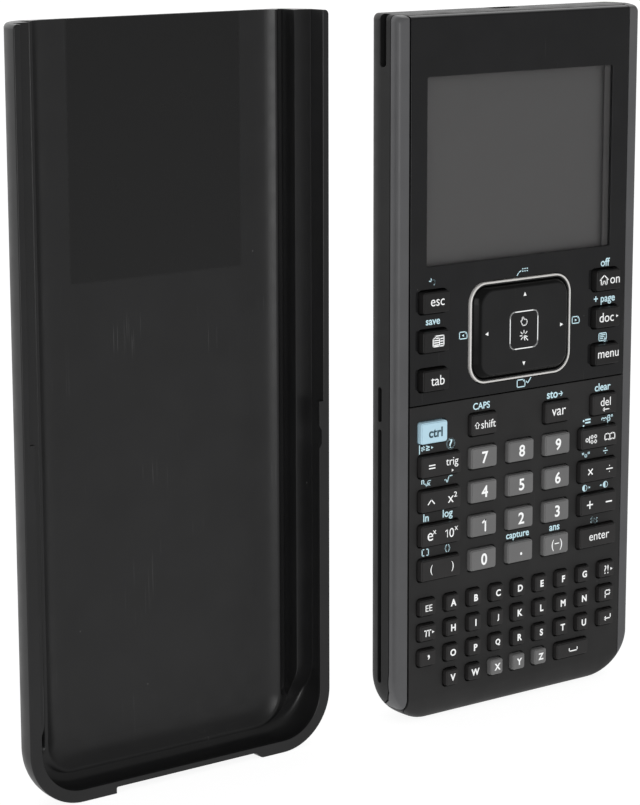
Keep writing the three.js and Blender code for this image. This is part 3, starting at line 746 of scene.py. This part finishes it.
def word(text, x, z, y, width=None, height=None, bold=0.0):
    curve = bpy.data.curves.new("word", "FONT")
    curve.body = text
    curve.extrude = 0.01
    curve.offset = bold
    curve.resolution_u = 4
    return ink_shape(curve, x, z, y, width, height)


def patch(points, x, z, y, scale):
    """A filled sign."""
    return loft([[(x + u * scale, depth, z + v * scale) for u, v in points] for depth in (y - INK, y + INK)])


def strokes(lines, x, z, y, scale=1.0, thick=0.26):
    """Lines drawn with a round pen: each is a list of points in millimetres from the middle of the sign."""
    shapes = []
    for line in lines:
        for (ax, az), (bx, bz) in zip(line, line[1:]):
            length = math.hypot(bx - ax, bz - az)
            if length < 1e-6:
                continue
            heading = math.atan2(bz - az, bx - ax)
            outline = []
            for end_x, end_z, start in ((bx, bz, -90), (ax, az, 90)):
                for i in range(7):
                    angle = heading + math.radians(start + 30 * i)
                    outline.append((end_x + thick / 2 * math.cos(angle), end_z + thick / 2 * math.sin(angle)))
            shapes.append(patch(outline, x, z, y, scale))
    return shapes


def arc(x, z, radius, start, end, steps=14):
    angles = [math.radians(start + (end - start) * i / steps) for i in range(steps + 1)]
    return [(x + radius * math.cos(a), z + radius * math.sin(a)) for a in angles]


def rectangle(x0, x1, z0, z1):
    return [(x0, z0), (x1, z0), (x1, z1), (x0, z1), (x0, z0)]


SIGNS = {  # line drawings, in millimetres
    "undo": [arc(0.2, -0.1, 0.7, 150, -60), [(-1.1, 0.35), (-0.4, 0.25), (-0.5, 0.95)]],
    "sheet": [rectangle(-1.8, 0.4, -1.3, 0.9), [(-1.1, 0.9), (-1.1, 1.5), (1.9, 1.5), (1.9, -1.3), (0.4, -1.3)]]
             + [[(-1.4, dz), (0.1, dz)] for dz in (0.3, -0.3, -0.9)]
             + [[(0.8, dz), (1.5, dz)] for dz in (0.7, 0, -0.7)],
    "list": [[(-1.9, -0.9), (-1.3, -0.1), (-0.5, 0.3)]]
            + [[(dx, dz), (dx + 0.25, dz)] for dx in (0.1, 0.95, 1.8) for dz in (0.85, 0.15)],
    "page": [[(-1.5, -1), (1.5, -1), (1.5, 0.5), (0.9, 1.1), (-1.5, 1.1), (-1.5, -1)],
             [(0.9, 1.1), (0.9, 0.5), (1.5, 0.5)]],
    "check": [[(-0.6, 0.1), (-0.1, -0.5), (1.1, 1.0)]],
    "context": [rectangle(-1.5, 1.3, -0.9, 1.2), [(-1.0, 0.7), (0.8, 0.7)], [(-1.0, 0.2), (0.4, 0.2)],
                [(-1.0, -0.3), (0.0, -0.3)], [(0.6, 0.0), (0.6, -1.5), (1.0, -1.1), (1.5, -1.1), (0.6, 0.0)]],
    "house": [[(-1.5, 0.1), (0, 1.4), (1.5, 0.1)], [(-1.1, 0.3), (-1.1, -1.2), (-0.4, -1.2), (-0.4, -0.3),
                                                    (0.4, -0.3), (0.4, -1.2), (1.1, -1.2), (1.1, 0.3)]],
    "hand": [[(-0.9, -0.2), (-1.3, 0.4), (-0.7, 0.3), (-0.7, 1.3), (-0.2, 1.3), (-0.1, 0.7), (0.6, 0.6),
              (1.1, 0.3), (1.0, -0.5), (0.6, -1.0), (-0.5, -1.0), (-0.9, -0.2)]],
    "pointer": [[(-0.1, 0.0), (1.4, -1.4)], [(-0.1, 0.0), (0.3, -1.3)], [(-0.1, 0.0), (1.2, -0.4)],
                [(-0.7, 0.0), (-1.4, 0.0)], [(-0.6, 0.5), (-1.1, 1.0)], [(0.0, 0.7), (0.0, 1.4)],
                [(0.6, 0.5), (1.1, 1.0)], [(-0.5, -0.5), (-1.0, -1.0)]],
    "template": [rectangle(-2.0, -1.1, -0.5, 0.4), [(-0.6, -0.9), (-0.6, 0.9)]]
                + [rectangle(dx, dx + 0.8, dz, dz + 0.8) for dx in (0, 1.4) for dz in (0.3, -1.2)],
    "book": [[(0, 0.6), (-0.9, 0.95), (-1.9, 0.7), (-1.9, -0.9), (-0.9, -0.65), (0, -1.0), (0.9, -0.65),
              (1.9, -0.9), (1.9, 0.7), (0.9, 0.95), (0, 0.6), (0, -1.0)]],
    "flag": [[(-0.9, -1.1), (-0.9, 0.9), (1.0, 0.9), (0.6, 0.3), (1.0, -0.3), (-0.9, -0.3)]],
    "return": [[(1.2, 0.8), (1.2, -0.3), (-1.1, -0.3)], [(-0.6, 0.2), (-1.1, -0.3), (-0.6, -0.8)]],
    "space": [[(-1.5, 0.4), (-1.5, -0.4), (1.5, -0.4), (1.5, 0.4)]],
    "back": [[(1.3, 0), (-1.2, 0)], [(-0.6, 0.5), (-1.2, 0), (-0.6, -0.5)]],
    "ring": [arc(0, 0, 1.15, 0, 360, 28)],
    "pi": [[(-1.1, 0.75), (1.1, 0.75)], [(-0.45, 0.75), (-0.6, -0.85)], [(0.5, 0.75), (0.5, -0.85)]],
    "one": [[(0.3, -1.45), (0.3, 1.45), (-0.6, 0.85)]],
    "equals": [[(-1.0, 0.4), (1.0, 0.4)], [(-1.0, -0.4), (1.0, -0.4)]],
    "chevron": [[(-1.1, -0.6), (0, 0.6), (1.1, -0.6)]],
    "divide": [[(-1.1, 0), (1.1, 0)], [(0, 0.85), (0, 0.87)], [(0, -0.85), (0, -0.87)]],
    "root": [[(-1.3, -0.1), (-0.9, 0.1), (-0.4, -1.0), (0.3, 0.9), (1.4, 0.9)]],
    "square": [[(0.5 * u, 0.85), (1.1 * u, 0.85), (1.1 * u, -0.85), (0.5 * u, -0.85)] for u in (-1, 1)],
    "curly": [[(0.3 * u, 0.9), (0.6 * u, 0.75), (0.6 * u, 0.2), (0.9 * u, 0), (0.6 * u, -0.2), (0.6 * u, -0.75),
               (0.3 * u, -0.9)] for u in (-1, 1)],
    "waves": [arc(-0.6, dz, 0.6, 160, 20, 6) + arc(0.55, dz + 0.4, 0.6, 200, 340, 6) for dz in (0.2, -0.75)],
    "fraction": [[(-0.75, 0), (0.75, 0)], [(-0.1, 0.7), (0.1, 0.7)], [(-0.1, -0.7), (0.1, -0.7)]],
    "quoted": [rectangle(-0.35, 0.35, -0.45, 0.25)]
              + [[(dx, 0.8), (dx, 0.4)] for dx in (-1.3, -0.85, 0.85, 1.3)],
}
TRIANGLE = [(-0.4, -0.45), (0.5, 0), (-0.4, 0.45)]


def sign(name, x, z, y, scale=1.0, thick=0.26):
    return strokes(SIGNS[name], x, z, y, scale, thick)


def turned(points, degrees):
    c, s = math.cos(math.radians(degrees)), math.sin(math.radians(degrees))
    return [(u * c - v * s, u * s + v * c) for u, v in points]


# What each key shows: text or a sign's name in brackets, its place from the key's middle, its width or scale.
KEY_MARKS = {
    "esc": [("esc", 0, 0, 4.7)],
    "scratchpad": [("<sheet>", 0.3, 0, 1.0)],
    "tab": [("tab", 0.2, 0, 4.7)],
    "home": [("<house>", -2.1, 0.1, 1.0), ("on", 2.0, -0.2, 3.6)],
    "doc": [("doc", -0.9, 0.1, 5.4), ("<point>", 3.1, 0.1, 0.9)],
    "menu": [("menu", 0, 0, 7.8)],
    "ctrl": [("ctrl", 0.2, 0, 4.8)],
    "shift": [("⇧", -2.9, 0, 2.0), ("shift", 1.1, 0, 5.2)],
    "var": [("var", 0, 0, 5.2)],
    "del": [("del", 0, 0.7, 3.8), ("<back>", 0.1, -1.5, 0.9)],
    "equals_trig": [("<equals>", -3.6, 0, 1.0), ("trig", 3.4, 0.3, 4.3), ("<point>", 3.6, -1.9, 0.8)],
    "power_square": [("<chevron>", -3.8, -0.1, 1.0), ("x²", 3.6, 0.2, 3.2)],
    "exponentials": [("e", -4.1, -0.2, 1.9), ("x", -2.6, 0.9, 1.2), ("<one>", 1.7, -0.1, 0.72),
                     ("0", 3.4, -0.1, 1.6), ("x", 5.0, 0.9, 1.2)],
    "brackets": [("(", -3.6, 0, 0.75), (")", 3.8, 0, 0.75)],
    "template_catalog": [("<template>", -3.6, -0.2, 0.95), ("<book>", 3.6, -0.2, 1.0)],
    "times_divide": [("×", -3.6, 0, 1.9), ("<divide>", 3.7, 0, 1.0)],
    "plus_minus": [("+", -3.6, 0, 2.3), ("−", 3.7, 0, 2.4)],
    "enter": [("enter", 0.2, 0, 7.6)],
    "point": [(".", 0.1, -0.6, 0.8)],
    "negative": [("(−)", 0, -0.2, 3.9)],
    "ee": [("EE", 0, -0.1, 2.35)],
    "pi": [("<pi>", -0.4, 0, 1.0), ("<point>", 1.5, 0.1, 0.9)],
    "comma": [(",", 0, 0.2, 0.75)],
    "punctuation": [("?!", -0.5, 0, 1.6), ("<point>", 1.4, 0, 0.9)],
    "flag": [("<flag>", 0.1, 0, 1.0)],
    "return": [("<return>", 0.1, 0, 1.0)],
    "space": [("<space>", 0, -0.1, 1.0)],
}
# Marks on the faceplates: text or a sign, place, width or scale.
PLATE_MARKS = [
    ("<undo>", -31, 120, 1.0), ("save", -30.8, 109.3, 4.9), ("<list>", 0.6, 119.8, 0.95),
    ("off", 31.4, 119.6, 3.4), ("+ page", 31.3, 109, 8.0), ("<context>", 31.0, 98.4, 1.0),
    ("<page>", -20.2, 104.5, 0.88), ("<left>", -20.3, 104.5, 0.8), ("<page>", 20.6, 104.4, 0.88),
    ("<point>", 20.6, 104.4, 0.8), ("<page>", 0.7, 88.9, 0.95), ("<check>", 3.2, 89.2, 0.95),
    ("CAPS", -13.5, 84.5, 6.0), ("sto", 12.3, 84.3, 4.0), ("→", 15.4, 84.3, 1.7), ("clear", 31.3, 84.3, 6.0),
    ("|≠≥", -33.5, 75.1, 3.7), ("<point>", -30.8, 75.2, 0.8), ("?", -24.3, 75.4, 1.05),
    ("<ring>", -24.3, 75.4, 1.2), (":=", 25.4, 74.7, 2.9), ("∞β°", 33.2, 74.8, 4.4),
    ("n", -34.0, 66.1, 1.0), ("<root>", -32.4, 65.5, 0.8), ("x", -31.9, 65.3, 1.1), ("<root>", -25.1, 65.7, 0.95),
    ("<quoted>", 25.3, 65.3, 1.0), ("<fraction>", 32.8, 65.7, 1.0),
    ("ln", -32.8, 56.1, 1.9), ("log", -25.2, 56.0, 3.5), ("◐", 25.1, 55.9, 1.9), ("<point>", 26.9, 55.9, 0.8),
    ("<left>", 31.2, 55.9, 0.8), ("◐", 33.0, 55.9, 1.9), ("<square>", -33.0, 46.5, 1.0),
    ("<curly>", -25.2, 46.5, 1.0), ("capture", 0.1, 46.1, 8.4), ("ans", 13.8, 46.2, 3.8),
    ("<waves>", 28.9, 46.2, 1.0),
]


def mark(text, x, z, y, size, bold=0.0, thick=0.28):
    """The shapes of one mark. Signs take a scale, text a width."""
    if text in ("<point>", "<left>"):
        return [patch(TRIANGLE if text == "<point>" else turned(TRIANGLE, 180), x, z, y, size)]
    if text.startswith("<"):
        return sign(text.strip("<>"), x, z, y, size, thick)
    return [word(text, x, z, y, width=size, bold=bold)]


def print_piece(name, shapes, body, ink):
    settle(solid(name, *shapes), CALCULATOR, body, ink)


def printing():
    nudge = 0.15
    for name in KEYS:
        x, z, _, _, rise = key_place(name)
        short = name[len("key_"):]
        bold, ink = (0.025, "grey_ink") if short == "ctrl" else (0.0, "white_ink")
        if short == "1":
            shapes = sign("one", x + nudge, z, -rise, 1.05, 0.5)
        elif short in "0123456789":
            shapes = [word(short, x + nudge, z, -rise, height=3.3, bold=0.02)]
        else:
            shapes = []
            for text, dx, dz, size in KEY_MARKS[short]:
                shapes += mark(text, x + nudge + dx, z + dz, -rise, size, bold, 0.32)
        print_piece(name + "_print", shapes, name, ink)
    for row in LETTER_ROWS:
        shapes = [word(letter, x + nudge, z, -LETTER_CAP[2], height=1.95, bold=0.035)
                  for letter, x, z in letter_places(row)]
        print_piece(row + "_print", shapes, row, "white_ink")
    shapes = []
    for text, x, z, size in PLATE_MARKS:
        shapes += mark(text, x, z, 0, size, bold=0.016, thick=0.29)
    print_piece("faceplate_print", shapes, "calculator", "blue_ink")
    face = -PAD_RISE
    outline = frame_ring(0.2, PAD_Z - 0.3, 10, 10.2, 1.6, 0)
    marks = strokes([[(px, pz) for px, _, pz in outline + outline[:1]]], 0, 0, face, 1.0, 0.28)
    marks += sign("hand", 0.2, PAD_Z + 1.9, face, 1.0) + sign("pointer", 0.2, PAD_Z - 1.9, face, 1.0)
    for dx, dz, degrees in ((0.4, 9.5, 90), (0.3, -9.6, -90), (-13.1, -0.1, 180), (13.9, -0.3, 0)):
        marks.append(patch(turned(TRIANGLE, degrees), dx, PAD_Z + dz, face, 1.2))
    print_piece("touchpad_print", marks, "touchpad", "white_ink")


# ---- slide cover

def ease(value, low, high):
    """A soft step from 0 at low to 1 at high."""
    share = min(1.0, max(0.0, (value - low) / (high - low)))
    return share * share * (3 - 2 * share)


def trough_outline(side, bottom, radius, upper, lower, end, span=(11, 21)):
    """One outline of the trough's inside, open at the top end.

    Its depth is upper along the sides, changes to lower down the span of z, and is end along the bottom."""
    half = []
    for i in range(21):
        angle = math.radians(-90 + 4.5 * i)
        half.append((side - radius + radius * math.cos(angle), bottom + radius + radius * math.sin(angle),
                     1 - i / 20))
    foot = bottom + radius
    half += [(side, foot + (30 - foot) * i / 14, 0) for i in range(1, 15)] + [(side, COVER_H + 5, 0)]
    points = []
    for x, z, corner in half:
        y = lower + (upper - lower) * ease(z, *span)
        points.append((x, y + (end - y) * ease(corner, 0.35, 0.9), z))
    return points + [(-x, y, z) for x, y, z in reversed(points)]


def trough():
    """A cutter for the inside of the cover, as nested outlines.

    The ledges sink and meet the crest near the bottom, where the grooves beside them end."""
    half, corner, flare = COVER_W / 2 - COVER_WALL, COVER_CORNER - COVER_WALL, 0.3
    outlines = [trough_outline(half + flare, COVER_WALL - flare, corner + flare, -1, -1, -1)]
    for share, deep in quarter():
        outlines.append(trough_outline(half + flare * share, COVER_WALL - flare * share, corner + flare * share,
                                       flare * deep, flare * deep, flare * deep))
    ledge, crest, groove = LEDGE_DEPTH, CREST_DEPTH, (12, 14)
    for side, bottom, radius, upper, lower, end, *span in (
        (half - 0.02, 2.1, corner + 0.3, 2, 3, 3.4),
        (half - 0.04, 2.4, corner + 0.9, 3.5, 5.5, 6),
        (half - 0.06, 2.9, corner + 1.6, ledge - 0.35, 7.4, 7.8),
        (half - 0.15, 3.4, corner + 2, ledge - 0.1, 8.2, 8.5),
        (half - 0.4, 4.0, corner + 2.2, ledge, 8.6, 8.92),
        (LEDGE_HALF + 0.3, 4.6, 11, ledge, 8.85, 9.05),
        (LEDGE_HALF + 0.1, 4.65, 10.8, ledge + 0.08, 8.86, 9.06),
        (LEDGE_HALF, 4.7, 10.6, ledge + 0.3, 8.87, 9.07),
        (LEDGE_HALF - 0.04, 4.72, 10.4, 9.8, 8.88, 9.07, groove),
        (LEDGE_HALF - 0.2, 4.75, 10.2, 10.3, 8.88, 9.08, groove),
        (37.9, 4.85, 9.2, 10.3, 8.85, 9.08, groove),
        (37.5, 4.9, 8.8, 10, 8.83, 9.09, groove),
        (37.2, 4.95, 8.5, 9.3, 8.82, 9.09, groove),
        (36.9, 5.05, 8.2, crest + 0.15, crest + 0.01, 9.1, groove),
        (36.5, 5.3, 7.8, crest, crest, 9.12, groove),
        (36.1, 5.7, 7.4, crest + 0.08, crest + 0.08, 9.18, groove),
    ):
        outlines.append(trough_outline(side, bottom, radius, upper, lower, end, *span))
    shoulder = 35.8
    for i in range(15):
        share = 1 - i / 14
        rise = share ** 2.8
        depth = FLOOR_DEPTH - (FLOOR_DEPTH - crest - 0.25) * rise
        outlines.append(trough_outline(FLOOR_HALF + (shoulder - FLOOR_HALF) * share, 12 - 6 * share,
                                       3 + 4.2 * share, depth, depth, FLOOR_DEPTH - 1.7 * rise))
    outlines.append(trough_outline(FLOOR_HALF - 0.1, 12.1, 3, *3 * [FLOOR_DEPTH + 0.03]))
    return loft(outlines)


def slide_cover():
    block = rounded_block(COVER_W, COVER_H, COVER_DEPTH, (COVER_SIDE, COVER_BOTTOM, COVER_TOP),
                          COVER_CORNER, 1.2, steps=24, samples=16)
    cover = cut(solid("slide_cover_shell", block), trough())
    combine(cover, rail(), "UNION")
    notch = [(-21.5, -1), (26, -1), (25.4, 0), (24.5, 0.05), (23.7, 0.3), (22.9, 0.9), (22.3, 1.5), (21.5, 1.8),
             (-21.2, 1.8), (-21.5, 1.5)]
    cut(cover, loft([[(x, y, z) for x, z in notch] for y in (-1, 6)]))
    settle(cover, COVER, "slide_cover", "cover_plastic", ["slide_cover"])


def rail():
    """The rail inside the rim's lower half, with the gap that snaps over the calculator's groove stop."""
    half, corner, soft = COVER_W / 2 - COVER_WALL, COVER_CORNER - COVER_WALL, 0.2

    def at(reach, y, top):
        return ring(-half + reach, half - reach, COVER_WALL + reach, top, corner - reach, 0.1, y, 20)
    bar = solid("rail", loft([at(-0.5, 0.002, RAIL_TOP), at(-0.5, RAIL_DEPTH, RAIL_TOP)]))
    inside = [(soft, -1)] + [(soft * share, soft * deep) for share, deep in quarter(4)]
    inside += [(0, RAIL_DEPTH - soft), (soft, RAIL_DEPTH), (soft, 2)]
    cut(bar, loft([at(RAIL_REACH - back, y, RAIL_TOP + 4) for back, y in inside]))
    gap = ((-1, -3.4), (0, -3), (0.7, -1.8), (0.7, 1.8), (0, 3), (-1, 3.4))
    return cut(bar, *(loft([[(side * (half - RAIL_REACH + u), y, DETENT_Z + v) for u, v in gap]
                            for y in (-1, 3)]) for side in (-1, 1)))


# ---- scene

def surroundings():
    """White to the camera and even for matt surfaces; glossy ones mirror darker parts to the front."""
    world = bpy.data.worlds.new("studio")
    bpy.context.scene.world = world
    world.use_nodes = True
    world.cycles.sampling_method = "NONE"
    tree = world.node_tree
    place = node(tree, "TexCoord")
    parts = node(tree, "SeparateXYZ")
    tree.links.new(place.outputs["Generated"], parts.inputs[0])
    x, y, z = (parts.outputs[i] for i in range(3))
    front = spread(tree, z, -0.25, 0.15, 0.42, 0.17)
    behind = spread(tree, z, -0.1, 0.2, 0.55, 1.15)
    side = spread(tree, y, 0.1, 0.6, 0, 1)
    mirrored = arithmetic(tree, "ADD", product(tree, side, behind),
                          product(tree, arithmetic(tree, "SUBTRACT", 1.0, side), front))
    path = tree.nodes.new("ShaderNodeLightPath")
    for flag, level in (("Is Diffuse Ray", 0.8), ("Is Camera Ray", 1.0)):
        other = arithmetic(tree, "SUBTRACT", 1.0, path.outputs[flag])
        mirrored = arithmetic(tree, "ADD", product(tree, other, mirrored),
                              product(tree, path.outputs[flag], level))
    background = adjust(tree.nodes["Background"], Color=(1, 1, 1, 1))
    tree.links.new(mirrored, background.inputs["Strength"])


def studio():
    """A white floor, a soft lamp and the camera."""
    mesh = bpy.data.meshes.new("floor")
    mesh.from_pydata([(-8, -8, 0), (8, -8, 0), (8, 8, 0), (-8, 8, 0)], [], [(0, 1, 2, 3)])
    floor = add("floor", mesh)
    paint = bpy.data.materials.new("floor_paint")
    paint.use_nodes = True
    adjust(paint.node_tree.nodes["Principled BSDF"], Base_Color=(0.2, 0.2, 0.2, 1), Emission_Color=(1, 1, 1, 1),
           Emission_Strength=0.9, Roughness=0.9, Specular_IOR_Level=0.1)
    mesh.materials.append(paint)
    floor.visible_glossy = False

    surroundings()
    lamp = bpy.data.lights.new("front_softbox", "AREA")
    lamp.shape = "RECTANGLE"
    lamp.size, lamp.size_y, lamp.energy = 0.7, 0.6, 3.2
    holder = add("front_softbox", lamp)
    holder.location = (-0.69, -0.98, 0.2)
    holder.rotation_mode = "QUATERNION"
    holder.rotation_quaternion = (Vector((0, 0, 0.095)) - holder.location).to_track_quat("-Z", "Y")

    camera = bpy.data.cameras.new("camera")
    camera.lens = 123.34
    camera.sensor_width = 36
    camera.clip_start, camera.clip_end = 0.05, 50
    holder = add("camera", camera)
    right = Vector((0.79419, -0.60766, -0.00216)).normalized()
    forward = Vector((0.59520, 0.77861, -0.19878)).normalized()
    up = right.cross(forward).normalized()
    turn = Matrix((right, up, -forward)).transposed()
    holder.matrix_world = Matrix.Translation((-0.43645, -0.56224, 0.23520)) @ turn.to_4x4()
    bpy.context.scene.camera = holder
    bpy.context.scene.view_settings.view_transform = "Standard"


studio()
form = solid("form", rounded_block(BODY_W, BODY_H, BODY_DEPTH, (SIDE_EDGE, BOTTOM_EDGE, TOP_EDGE),
                                   BODY_CORNER, BODY_TOP_CORNER, foot=FOOT, shrink=1))
faceplates(form)
grips(form)
rear_housing(form)
bpy.data.objects.remove(form)
battery_door()
sockets()
window_and_inside()
keys()
touchpad()
printing()
slide_cover()
